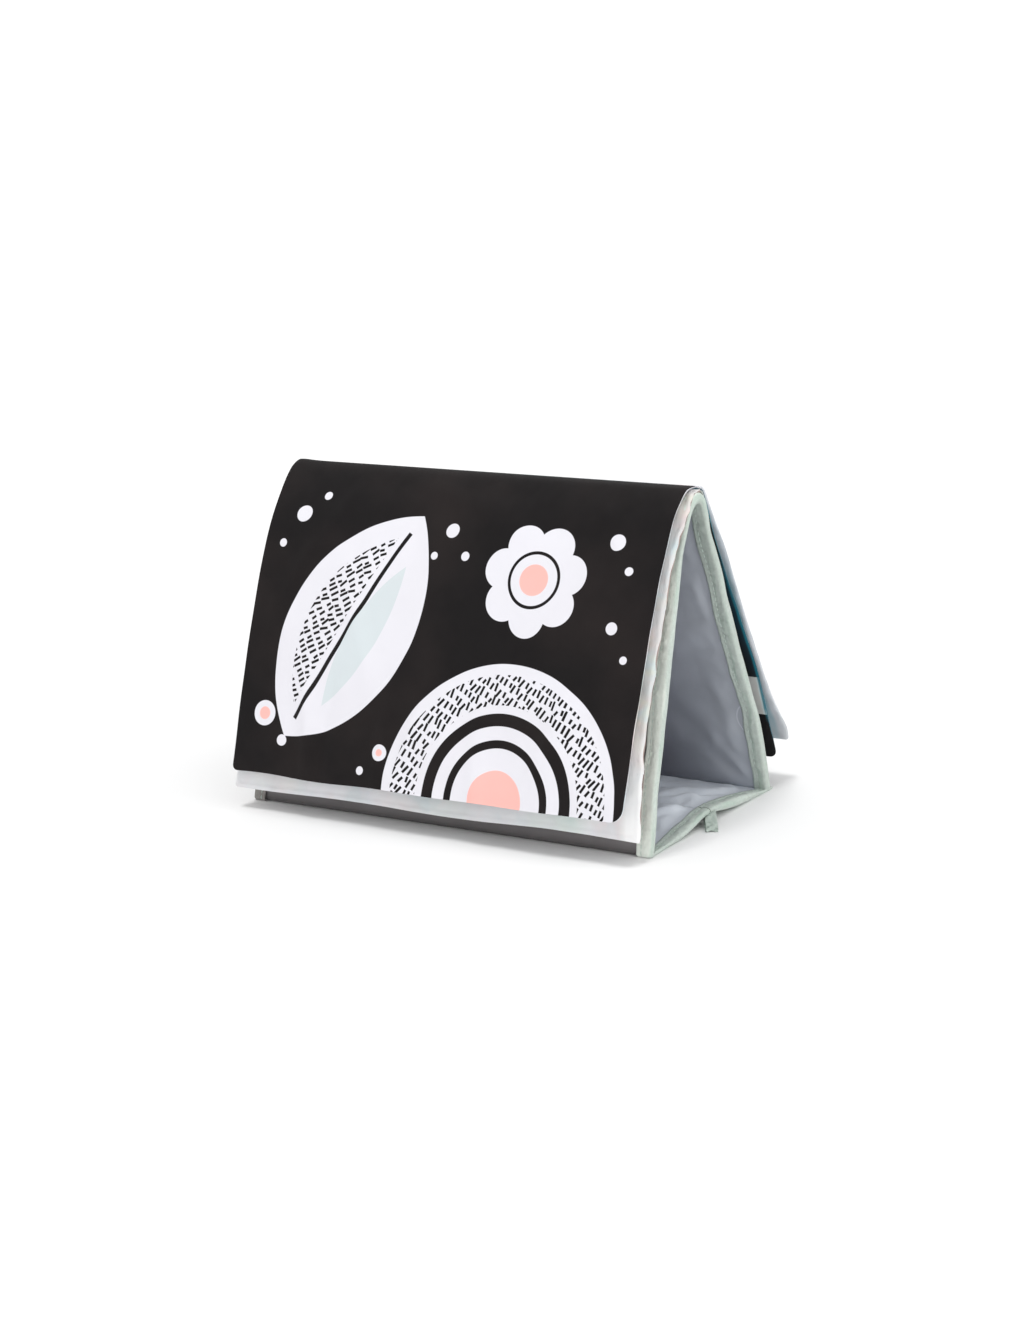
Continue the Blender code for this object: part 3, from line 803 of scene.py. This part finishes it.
def tape(name, place, s, lo, hi, sign, seed, inner=LEG, inner_hi=LEG, outer=130.2, stitch=2.7, material=None):
    """Edge tape along a run: place(x, s, offset) gives points, lo and hi its two sides."""
    rings, uvs, lines = [], [], ([], [])
    inner, inner_hi = np.broadcast_to(inner, s.shape), np.broadcast_to(inner_hi, s.shape)
    wander = 0.35 * waves(s, 0 * s, seed + 1, 12, 50, 8)
    pull = waves(s, 0 * s, seed + 2, 3.0, 7.0, 12)
    slow = waves(s, 0 * s, seed + 3, 14.0, 60.0, 8)
    quiet = smooth(s, 0, 8) * smooth(s[-1] - s, 0, 8)
    wander, pull, slow = wander * quiet, pull * quiet, slow * quiet
    for k, sk in enumerate(s):
        a, b = inner[k] + wander[k], inner_hi[k] + wander[k]
        out, back = u_profile(lo[k], hi[k], a, b, outer + 0.15 * slow[k])
        prof = np.concatenate([out, back])
        deep = min(1.0, (hi[k] - lo[k]) / 3.5)
        mid = (lo[k] + hi[k]) / 2
        side = np.sign(prof[:, 1] - mid)
        # the stitch line pulls the tape in, and the cloth on both sides of it puffs up
        d = prof[:, 0] - (np.where(side < 0, a, b) + stitch)
        move = -0.32 * np.exp(-(d / 0.6) ** 2) + 0.20 * np.exp(-((d - 2.6) / 1.8) ** 2) * (1 + 0.8 * slow[k]) + 0.10 * np.exp(-((d + stitch) / 1.1) ** 2)
        move = move + 0.26 * pull[k] * np.exp(-((d - 0.6) / 2.4) ** 2)
        web = np.clip((prof[:, 0] - (outer - 2.2)) / 2.2, 0, 1)
        off = prof[:, 1] + side * move * (1 - web) * deep
        rings.append(place(sign * prof[:, 0], np.full(len(prof), sk), off))
        run = np.concatenate([[0], np.cumsum(np.linalg.norm(np.diff(prof, axis=0), axis=1))])
        uvs.append(np.stack([run, np.full(len(prof), sk)], -1))
        for line, edge, start in ((lines[0], lo[k] + 0.1, a), (lines[1], hi[k] - 0.1, b)):
            line.append(place(np.array([sign * (start + stitch)]), np.array([sk]), np.array([edge]))[0])
    obj = loft(name, np.array(rings), np.array(uvs), [material or mat_tape])
    return obj, [np.array(l) for l in lines]


def threads(name, runs, stitch=2.6, gap=0.9, radius=0.24, material=None):
    """Stitches: short raised threads along each run of (point, normal) pairs."""
    verts, faces, uv = [], [], []
    sides = 6
    for line, normal in runs:
        seg = np.linalg.norm(np.diff(line, axis=0), axis=1)
        run = np.concatenate([[0], np.cumsum(seg)])
        at = 1.0
        while at + stitch < run[-1] - 1.0:
            pts, nrm = [], []
            for q in np.linspace(0, 1, 5):
                s = at + stitch * q
                pts.append([np.interp(s, run, line[:, i]) for i in range(3)])
                nrm.append([np.interp(s, run, normal[:, i]) for i in range(3)])
            pts, nrm = np.array(pts), np.array(nrm)
            nrm /= np.linalg.norm(nrm, axis=1, keepdims=True)
            tan = pts[-1] - pts[0]
            tan /= np.linalg.norm(tan)
            bi = np.cross(tan, nrm)
            base = len(verts)
            for q, p, n, b in zip(np.linspace(0, 1, 5), pts, nrm, bi):
                lift = radius * 0.9 * math.sin(math.pi * q) - radius * 0.35
                rr = radius * (0.55 + 0.45 * math.sin(math.pi * q))
                for k in range(sides):
                    a = 2 * math.pi * k / sides
                    verts.append(p + n * lift + (n * math.sin(a) + b * math.cos(a)) * rr)
                    uv.append((k, at + stitch * q))
            for r in range(4):
                for k in range(sides):
                    a, c = base + r * sides + k, base + r * sides + (k + 1) % sides
                    faces.append([a, c, c + sides, a + sides])
            faces.append([base + k for k in range(sides)][::-1])
            faces.append([base + 4 * sides + k for k in range(sides)])
            at += stitch + gap
    obj = make(name, np.array(verts), faces, np.array(uv), [material or mat_thread])
    outward(obj)
    return obj


s_tape = spaced(0.05, TENT.length - 0.05, 1.25)
near = np.minimum(s_tape, TENT.length - s_tape)
round_end = np.where(near < 2.2, 2.2 - np.sqrt(np.maximum(2.2 ** 2 - (2.2 - near) ** 2, 0)), 0.0)
ridge_slim = smooth(np.abs(s_tape - APEX), 3.0, 16.0)
for side, sign in (("right", 1), ("left", -1)):
    lo = np.full(len(s_tape), 0.15)
    hi = thick(s_tape) + 0.95 - round_end * 0.8
    piece, lines = tape(f"edge_tape_{side}", tent, s_tape, lo, hi, sign, 40 + sign, material=mat_tape_tent if sign > 0 else mat_tape_shade)
    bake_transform(piece)
    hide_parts(f"front_panel_binding_{side}", f"back_panel_binding_{side}")
    up = np.concatenate([np.zeros((len(s_tape), 1)), TENT.left(s_tape)], -1)
    sew = threads(f"edge_tape_stitches_{side}", [(lines[0], -up), (lines[1], up)])
    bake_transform(sew)


# ------------------------------------------------------------------ the base
class Base:
    """One half of the base: a run from the foot to the crease. Offsets go up from its underside line."""

    def __init__(self, name, points):
        self.path = Path(points)
        self.name = name
        self.flip = 1 if points[0][0] < 0 else -1

    def place(self, x, s, offset):
        p, n = self.path.at(s), self.path.left(s) * self.flip
        p = p + n * np.asarray(offset)[..., None]
        return np.stack([np.broadcast_to(x, p.shape[:-1]), p[..., 0], p[..., 1]], -1)


halves = {
    "front": Base("front", [(-66.5, 0.30), (-50.0, 0.40), (-35.0, 1.0), (-20.0, 3.1), (-9.0, 5.2), (CREASE_Y - 0.03, 5.9)]),
    "back": Base("back", [(72.6, 0.25), (55.0, 0.45), (39.0, 0.9), (20.0, 2.6), (7.0, 4.8), (CREASE_Y + 0.03, 5.9)]),
}
# the tape's height over the underside, by the distance from the foot
deep = {"front": catmull([(0, 1.6), (10, 1.9), (20, 2.3), (32, 2.9), (47, 3.4), (58, 3.2), (70, 2.8)], 8),
        "back": catmull([(0, 0.8), (8, 1.2), (17, 2.1), (31, 3.9), (43, 4.8), (54, 4.6), (66, 3.7), (80, 2.6)], 8)}
for which, half in halves.items():
    L = half.path.length
    s = spaced(0.0, L, 1.6)
    cols = np.concatenate([[-128.9], spaced(-127, -80, 1.8), spaced(-78, 78, 3.4), spaced(80, 127, 1.8), [128.9]])
    X, S = np.meshgrid(cols, s)
    seed = 60 if which == "front" else 70
    field, _ = gathered(236.0, L - 8.0, 311 + seed, slack=0.05, hold=0.02, puff=0.3, bend=1.4, band=20.0)
    t, u = (S - 6.0) / (L - 8.0), X / 236.0 + 0.5
    within = ((t > 0) & (t < 1) & (u > 0) & (u < 1)).astype(float)
    up = 0.75 * read(field, u, t) * within
    if which == "front":
        big = fold(X, S, (104, L - 20), 62, 20, 3.2, 1.3) + fold(X, S, (70, L - 9), 6, 60, 2.6, 1.2) + fold(X, S, (-40, L - 16), -8, 60, 3.4, 1.0)
    else:
        big = fold(X, S, (108, 50), -56, 17, 1.7, -1.3) + fold(X, S, (112, 54), -54, 16, 2.0, 1.2) + fold(X, S, (84, 68), -10, 18, 2.0, -0.9)
        big = big + fold(X, S, (92, 30), 10, 26, 4.5, 1.3) + fold(X, S, (60, 36), -6, 40, 4.0, 1.0)
        big = big + fold(X, S, (-40, L - 30), 8, 60, 3.4, 1.1)
    inner = smooth(S, 2, 12) * smooth(120.5 - np.abs(X), 0, 9)
    level = np.interp(S, deep[which][:, 0], deep[which][:, 1])
    top_z = np.maximum(level - 0.75, 0.72) + (0.5 + up + big * (1 - 0.7 * smooth(S, L - 5, L))) * inner * smooth(S, 3, 16)
    wob = 0.15 * waves(X, S, seed + 4, 20, 60, 12) * inner * smooth(S, 8, 24)
    top_z = np.maximum(top_z, 0.72 + wob + 0.3 * inner)      # it stays above the underside cloth
    lining_b = shell(f"base_{which}_lining_cloth", half.place(X, S, top_z), half.place(X, S, top_z - 0.7), np.stack([X, S], -1), [mat_base])
    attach(lining_b, f"base_{which}")
    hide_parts(f"base_{which}_lining", f"base_{which}_board", f"base_{which}_crease_fold")
    under = shell(f"base_{which}_underside_cloth", half.place(X, S, 0.7 + wob), half.place(X, S, 0.0 + wob), np.stack([X, S], -1), [mat_under])
    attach(under, f"base_{which}")
    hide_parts(f"base_{which}_cover")
    st = spaced(0.3, L, 1.2)
    for side, sign in (("right", 1), ("left", -1)):
        lo = np.full(len(st), -0.2)
        hi = np.interp(st, deep[which][:, 0], deep[which][:, 1])
        leg = LEG + 3.2 * (1 - smooth(st, 4, 26))
        piece, lines = tape(f"base_{which}_tape_{side}", half.place, st, lo, hi, sign, seed + 10 + sign, inner=LEG, inner_hi=leg, outer=130.0, material=mat_tape if sign > 0 else mat_tape_shade)
        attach(piece, f"base_{which}")
        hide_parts(f"base_{which}_binding_{side}")
        n3 = np.concatenate([np.zeros((len(st), 1)), half.path.left(st) * half.flip], -1)
        sew = threads(f"base_{which}_tape_stitches_{side}", [(lines[0], -n3), (lines[1], n3)])
        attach(sew, f"base_{which}")


# ------------------------------------------------------------------ pages
def page(name, left, right, half, corner, body, out, materials, seed, folds=(), half_thick=1.1, hinge=None, root=13.0, sag=1.0, puckers=0.3, bias=0.0, slack=0.045, wider=0.0, groove=0.0, corner_left=None, crumple=0.0, edge=0.12):
    """A turned cloth page: two faces closed at the rim. left and right are its lines at its two ends, out is +1 where outwards is left of the run.
    puckers scales the simulated gathers, bias moves the rim's seam towards the inward face, wider widens the left side,
    groove sinks a stitch line near the rim, crumple creases the right edge, most close to the ridge, and edge is how far the right edge wanders."""
    pl, pr = Path(left), Path(right)
    L = (pl.length + pr.length) / 2
    ends = np.array([0, 0.1, 0.35, 0.8, 1.4, 2.1, 3.0, 4.2, 5.6, 7.4, 9.6, 12.2])
    rows = np.concatenate([spaced(0, L - 14.4, 2.2), (L - ends)[::-1]])
    inner = np.linspace(-1, 1, 109)
    X, S = [], []
    side_r, side_l = edge * waves(rows, 0 * rows, seed, 16, 50, 8), 0.12 * waves(rows, 0 * rows, seed + 1, 20, 60, 8)
    corner_left = corner if corner_left is None else corner_left
    for k, s in enumerate(rows):
        cuts = []
        for c in (corner, corner_left):
            into = max(0.0, s - (L - c))
            cuts.append(c - math.sqrt(max(c * c - into * into, 0.0)))
        wr, wl = half - cuts[0] + side_r[k], half + wider - cuts[1] + side_l[k]
        lo, hi = -(wl - 12.2), wr - 12.2
        X.append(np.concatenate([-(wl - ends), (lo + hi) / 2 + inner[1:-1] * (hi - lo) / 2, (wr - ends)[::-1]]))
        S.append(np.full(len(X[-1]), s))
    X, S = np.array(X), np.array(S)
    reach = np.where(X > 0, half, half + wider)
    bend = np.where(X > 0, corner, corner_left)
    qx, qy = np.abs(X) - (reach - bend), S - (L - bend)
    D = np.where((qx > 0) & (qy > 0), bend - np.hypot(qx, qy), np.minimum(reach - np.abs(X), L - S))
    D = np.maximum(D, 0)
    D[:, 0] = D[:, -1] = D[-1] = 0
    rim = np.sqrt(1 - (1 - np.clip(D / 1.7, 0, 1)) ** 2)
    top_z, bot_z = gathered(2 * half + wider, L - 8.0, seed + 400, slack=slack)
    u, t = (X + half + wider) / (2 * half + wider), (S - 8.0) / (L - 8.0)
    live = smooth(S, 8, 16)
    a, b = read(top_z, u, t) * live, read(bot_z, u, t) * live
    mid = (a + b) / 2 * puckers
    swell = ((a - b) / 2 - 0.9) * puckers * live
    h = np.maximum(half_thick * (0.6 + 0.4 * smooth(S, 2, 12)) + np.clip(swell, -0.45, 0.8), 0.45)
    line = 3.1 + 0.3 * waves(S, X * 0.02, seed + 9, 12, 40, 8)
    h = h - groove * np.exp(-((D - line) / 0.55) ** 2) * (1 + 0.5 * waves(X + S, X - S, seed + 10, 3.5, 8, 12)) * smooth(S, 3, 9)
    h = h + groove * 0.45 * np.exp(-((D - 1.5) / 0.9) ** 2)
    lift = 0.30 * sag * waves(X, 0 * X, seed + 2, 60, 150, 6)
    Sx = S + lift * smooth(S, L * 0.4, L)
    t = np.clip(Sx / L, 0, 1.02)
    k = np.clip((X + half) / (2 * half), 0, 1)
    k = (0.5 * k + 0.5 * smooth(k, 0, 1))[..., None]

    def run(path):
        s = t * path.length
        over = np.maximum(s - path.length, 0)
        p = path.at(np.minimum(s, path.length))
        return p + over[..., None] * path.t[-1], path.left(np.minimum(s, path.length)) * out

    (p0, n0), (p1, n1) = run(pl), run(pr)
    P, N = p0 * (1 - k) + p1 * k, n0 * (1 - k) + n1 * k
    N /= np.linalg.norm(N, axis=-1, keepdims=True)
    d = sag * (0.55 * waves(X, S, seed + 3, 60, 170, 10, stretch=1.8) * smooth(S, 8, 60) * smooth(D, -20, 40)
               + 0.20 * waves(X, S, seed + 4, 18, 45, 16, stretch=1.5) * smooth(S, 6, 30))
    for f in folds:
        d = d + fold(X, S, *f)
    d = d + mid
    if crumple:
        rough = np.exp(-np.maximum(reach - X, 0) / 7.0) * smooth(S, 1, 5)
        d = d + crumple * waves(X * 1.4, S, seed + 12, 4.0, 11.0, 18) * np.exp(-(S / 30.0) ** 2) * rough
        d = d + 0.45 * crumple * waves(X, S, seed + 14, 9.0, 26.0, 16) * smooth(S, 14, 40) * smooth(L - S, 4, 26) * rough
    # where the two cloths meet at the rim: at the middle, or closer to one face
    seam = -bias * half_thick * smooth(S, 2, 12) * (1 - rim)
    top = P + N * (d + seam + h * (1 + bias) * rim)[..., None]
    bot = P + N * (d + seam - h * (1 - bias) * rim)[..., None]
    top3 = np.concatenate([X[..., None], top], -1)
    bot3 = np.concatenate([X[..., None], bot], -1)
    obj = shell(name, top3, bot3, np.stack([X, L - S], -1), materials, weld=(False, True, True, True), backing=1)
    a, b = np.array(hinge), pl.at(np.array([root]))[0] * 0.5 + pr.at(np.array([root]))[0] * 0.5
    a[0] * MM
    a[1] * MM
    b[0] * MM
    b[1] * MM
    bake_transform(obj)
    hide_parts(*(f"{body}_{p}" for p in ("outward_face", "crinkle_film", "inward_face", "root")))
    return obj


fi_l = [(-3.6, 184.2), (-8.4, 183.6), (-20.4, 174.9), (-32.8, 159.8), (-45.4, 135.4), (-60.4, 92.0), (-85.2, 12.5)]
fi_r = [(-3.6, 184.6), (-9.4, 184.0), (-15.6, 178.6), (-21.9, 171.2), (-31.0, 159.4), (-40.6, 142.0), (-49.2, 122.4), (-56.2, 103.8), (-63.0, 87.4),
        (-69.0, 71.6), (-73.0, 57.0), (-76.2, 39.0), (-80.0, 11.7)]
fo_l = [(-5.4, 186.9), (-7.6, 187.1), (-12.6, 185.2), (-22.4, 176.6), (-35.1, 160.7), (-48.1, 136.4), (-57.2, 114.5), (-65.0, 93.4), (-87.8, 22.7)]
fo_r = [(-5.4, 186.6), (-8.0, 186.8), (-14.4, 185.9), (-21.4, 180.9), (-29.2, 173.4), (-36.6, 161.5), (-44.0, 148.2), (-51.2, 133.4), (-57.8, 118.6),
        (-64.4, 101.3), (-70.6, 86.4), (-76.4, 71.6), (-81.6, 57.8), (-89.4, 36.6), (-93.0, 25.0)]
bi = [(-4.6, 184.6), (-1.2, 183.8), (1.8, 179.0), (5.1, 171.8), (8.6, 162.8), (13.0, 153.1), (19.1, 142.2), (24.4, 132.3), (29.8, 122.6), (35.6, 112.4), (40.8, 102.8), (46.4, 93.0),
      (52.2, 83.3), (57.0, 74.0), (61.1, 65.0), (64.6, 56.5), (68.0, 47.8), (71.6, 38.9), (75.6, 28.9), (80.0, 16.6)]
bo = [(-3.9, 186.2), (-1.2, 185.4), (1.6, 182.2), (5.2, 175.8), (11.0, 166.4), (16.9, 156.9), (22.6, 147.4), (27.5, 138.3), (32.3, 129.2), (37.2, 119.6), (42.3, 110.2),
      (47.6, 100.4), (52.9, 90.6), (58.3, 80.8), (63.8, 71.2), (69.4, 61.6), (76.7, 50.8), (84.2, 40.8), (89.0, 34.9), (92.6, 29.6), (94.4, 22.8)]

inner_front = page("page_front_inner", fi_l, fi_r, 130.2, 1.4, "front_inner_page", -1, [mat_pastel, mat_pastel_in], 110,
                   [((-80, 150), 85, 30, 4, 0.8), ((60, 140), 95, 34, 5, 0.8)], hinge=(-8.0, 182.3), puckers=0.42, half_thick=1.25, groove=0.55, bias=-0.35, crumple=0.8, edge=0.4)
outer_front = page("page_front_outer", fo_l, fo_r, 127.2, 8.0, "front_outer_page", -1, [mat_front, mat_pastel_b], 130,
                   [((-82, 160), 82, 36, 5, 1.7), ((-70, 162), 96, 30, 4, -1.0), ((-30, 170), 92, 26, 5, 1.3), ((-12, 160), 100, 30, 4, 1.1), ((32, 166), 84, 30, 6, 1.4), ((78, 150), 106, 44, 7, 1.6),
                    ((104, 120), 70, 30, 5, 1.1), ((96, 44), 58, 34, 4, 0.8), ((-96, 60), 118, 40, 6, 1.1), ((10, 30), 20, 50, 7, 0.8), ((-58, 100), 64, 44, 7, 0.9),
                    ((-129, 9), 90, 13, 8, 0.7)],
                   hinge=(-7.0, 185.8), puckers=0.2, wider=2.8, bias=-0.5, corner_left=3.6)
inner_back = page("page_back_inner", bi, bi, 129.2, 4.5, "back_inner_page", 1, [mat_teal, mat_black], 150,
                  [((-60, 140), 84, 40, 6, 1.0), ((40, 150), 96, 40, 6, 0.8)], hinge=(-2.4, 182.4), puckers=0.2, bias=0.35, sag=0.3)
outer_back = page("page_back_outer", bo, bo, 129.6, 2.0, "back_outer_page", 1, [mat_pastel_b, mat_pastel_far], 170,
                  [((-70, 150), 80, 50, 7, 1.2), ((30, 160), 100, 46, 7, 1.2), ((84, 130), 75, 46, 6, 0.8)], hinge=(-1.8, 186.0), puckers=0.25, sag=0.35)


# ------------------------------------------------------------------ tabs at the crease
for side, sign in (("right", 1), ("left", -1)):
    # a short ribbon, folded back on itself at its free end and sewn in by both ends
    spine = catmull([(126.2, 2.4, 6.6), (128.8, -1.0, 6.5), (131.4, -4.8, 5.4), (134.6, -10.0, 3.0), (136.8, -13.6, 1.5), (137.4, -14.8, 0.95), (136.6, -14.0, 0.5),
                     (134.0, -9.8, 0.7), (130.8, -4.8, 1.8), (128.8, -1.4, 3.4), (126.2, 2.0, 4.6)], 6)
    tan = np.gradient(spine, axis=0)
    tan /= np.linalg.norm(tan, axis=1, keepdims=True)
    across = np.array([0.87, 0.50, 0.02]) - (tan @ np.array([0.87, 0.50, 0.02]))[:, None] * tan
    across /= np.linalg.norm(across, axis=1, keepdims=True)
    up = np.cross(across, tan)
    up *= np.where(up[:1, 2:3] < 0, -1.0, 1.0)
    run = np.concatenate([[0], np.cumsum(np.linalg.norm(np.diff(spine, axis=0), axis=1))])
    w = np.linspace(-3.3, 3.3, 17)
    W, K = np.meshgrid(w, np.arange(len(spine)))
    R = run[K]
    crush = (0.30 * waves(W, R, 91, 2.4, 6.0, 14) - 0.07 * W * W / 3.3 - 0.12 * W) * smooth(R, 2, 7)
    g1, g2 = spine[K] + across[K] * W[..., None] + up[K] * (0.32 + crush)[..., None], spine[K] + across[K] * W[..., None] + up[K] * (-0.32 + crush)[..., None]
    for g in (g1, g2):
        g[..., 0] *= sign
        g[..., 2] = np.maximum(g[..., 2], 0.12 + 0.02 * np.abs(W))
    tab = shell(f"crease_ribbon_{side}", g1, g2, np.stack([W, R], -1), [mat_ribbon if sign > 0 else mat_tape_shade])
    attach(tab, "base_front")
    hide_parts(f"crease_tab_{side}")

# ------------------------------------------------------------------ floor, light and camera
grid = np.concatenate([-np.geomspace(120, 0.6, 14), np.linspace(-0.5, 0.5, 9), np.geomspace(0.6, 120, 14)])
n = len(grid)
verts = [(x, y, 0.0) for y in grid for x in grid]
faces = [[r * n + c, r * n + c + 1, (r + 1) * n + c + 1, (r + 1) * n + c] for r in range(n - 1) for c in range(n - 1)]
mesh = bpy.data.meshes.new("studio_floor")
mesh.from_pydata(verts, [], faces)
floor = bpy.data.objects.new("studio_floor", mesh)
bpy.context.scene.collection.objects.link(floor)
fm = bpy.data.materials.new("studio_white")
fm.use_nodes = True
fs = fm.node_tree.nodes["Principled BSDF"]
fs.inputs["Base Color"].default_value = (0.93, 0.93, 0.93, 1)
fs.inputs["Roughness"].default_value = 0.9
fs.inputs["Specular IOR Level"].default_value = 0.1
mesh.materials.append(fm)

# a sky like a large soft box: brightest overhead, dimmer towards the horizon, with a bright band at the horizon itself behind the floor's far edge
world = bpy.data.worlds.new("studio")
bpy.context.scene.world = world
world.use_nodes = True
wt = world.node_tree
where = wt.nodes.new("ShaderNodeTexCoord")
part = wt.nodes.new("ShaderNodeSeparateXYZ")
wt.links.new(where.outputs["Generated"], part.inputs[0])
height = Sum(wt, part.outputs[2]).max(0.0)
east, south = Sum(wt, part.outputs[0]), Sum(wt, part.outputs[1])
band = 1.0 - ramp(height, 0.03, 0.08)
low_front = ramp(south, -0.05, -0.9) * ramp(height, 0.8, 0.35)
from_east = ramp(east, 0.05, 0.85) * ramp(height, 0.95, 0.4)
behind = ramp(south, 0.25, 0.6) * ramp(east, 0.25, -0.1) * ramp(height, 0.6, 0.35)
glow = behind * 0.62 + height.power(1.5) * 0.7 + low_front * 0.7 + from_east * 0.86 + 0.23 + band * 0.75
background = wt.nodes["Background"]
background.inputs[0].default_value = (1.0, 1.0, 1.0, 1)
wt.links.new(glow.socket, background.inputs[1])


# a wide soft light high above and a little to the front
key = bpy.data.lights.new("key_above", "SUN")
key.energy, key.angle = 1.12, 0.235
key_obj = bpy.data.objects.new("key_above", key)
bpy.context.scene.collection.objects.link(key_obj)
key_obj.rotation_euler = (Vector((0, 0, 0.05)) - Vector((-0.13, -0.45, 2.05))).to_track_quat("-Z", "Y").to_euler()

cam_data = bpy.data.cameras.new("camera")
cam = bpy.data.objects.new("camera", cam_data)
bpy.context.scene.collection.objects.link(cam)
az, el, roll = math.radians(32.6594), math.radians(13.6538), math.radians(2.3723)
back = Vector((math.sin(az) * math.cos(el), -math.cos(az) * math.cos(el), math.sin(el)))
right = Vector((math.cos(az), math.sin(az), 0))
up = back.cross(right)
c, s = math.cos(roll), math.sin(roll)
r2, u2 = right * c - up * s, right * s + up * c
m = Matrix((r2, u2, back)).transposed().to_4x4()
m.translation = Vector((0.0033, 0.0, 0.0797)) + back * 1.5257
cam.matrix_world = m
cam_data.sensor_width = 36
cam_data.lens = 2713.8 / 1319 * 36
bpy.context.scene.camera = cam
bpy.context.scene.view_settings.view_transform = "Standard"
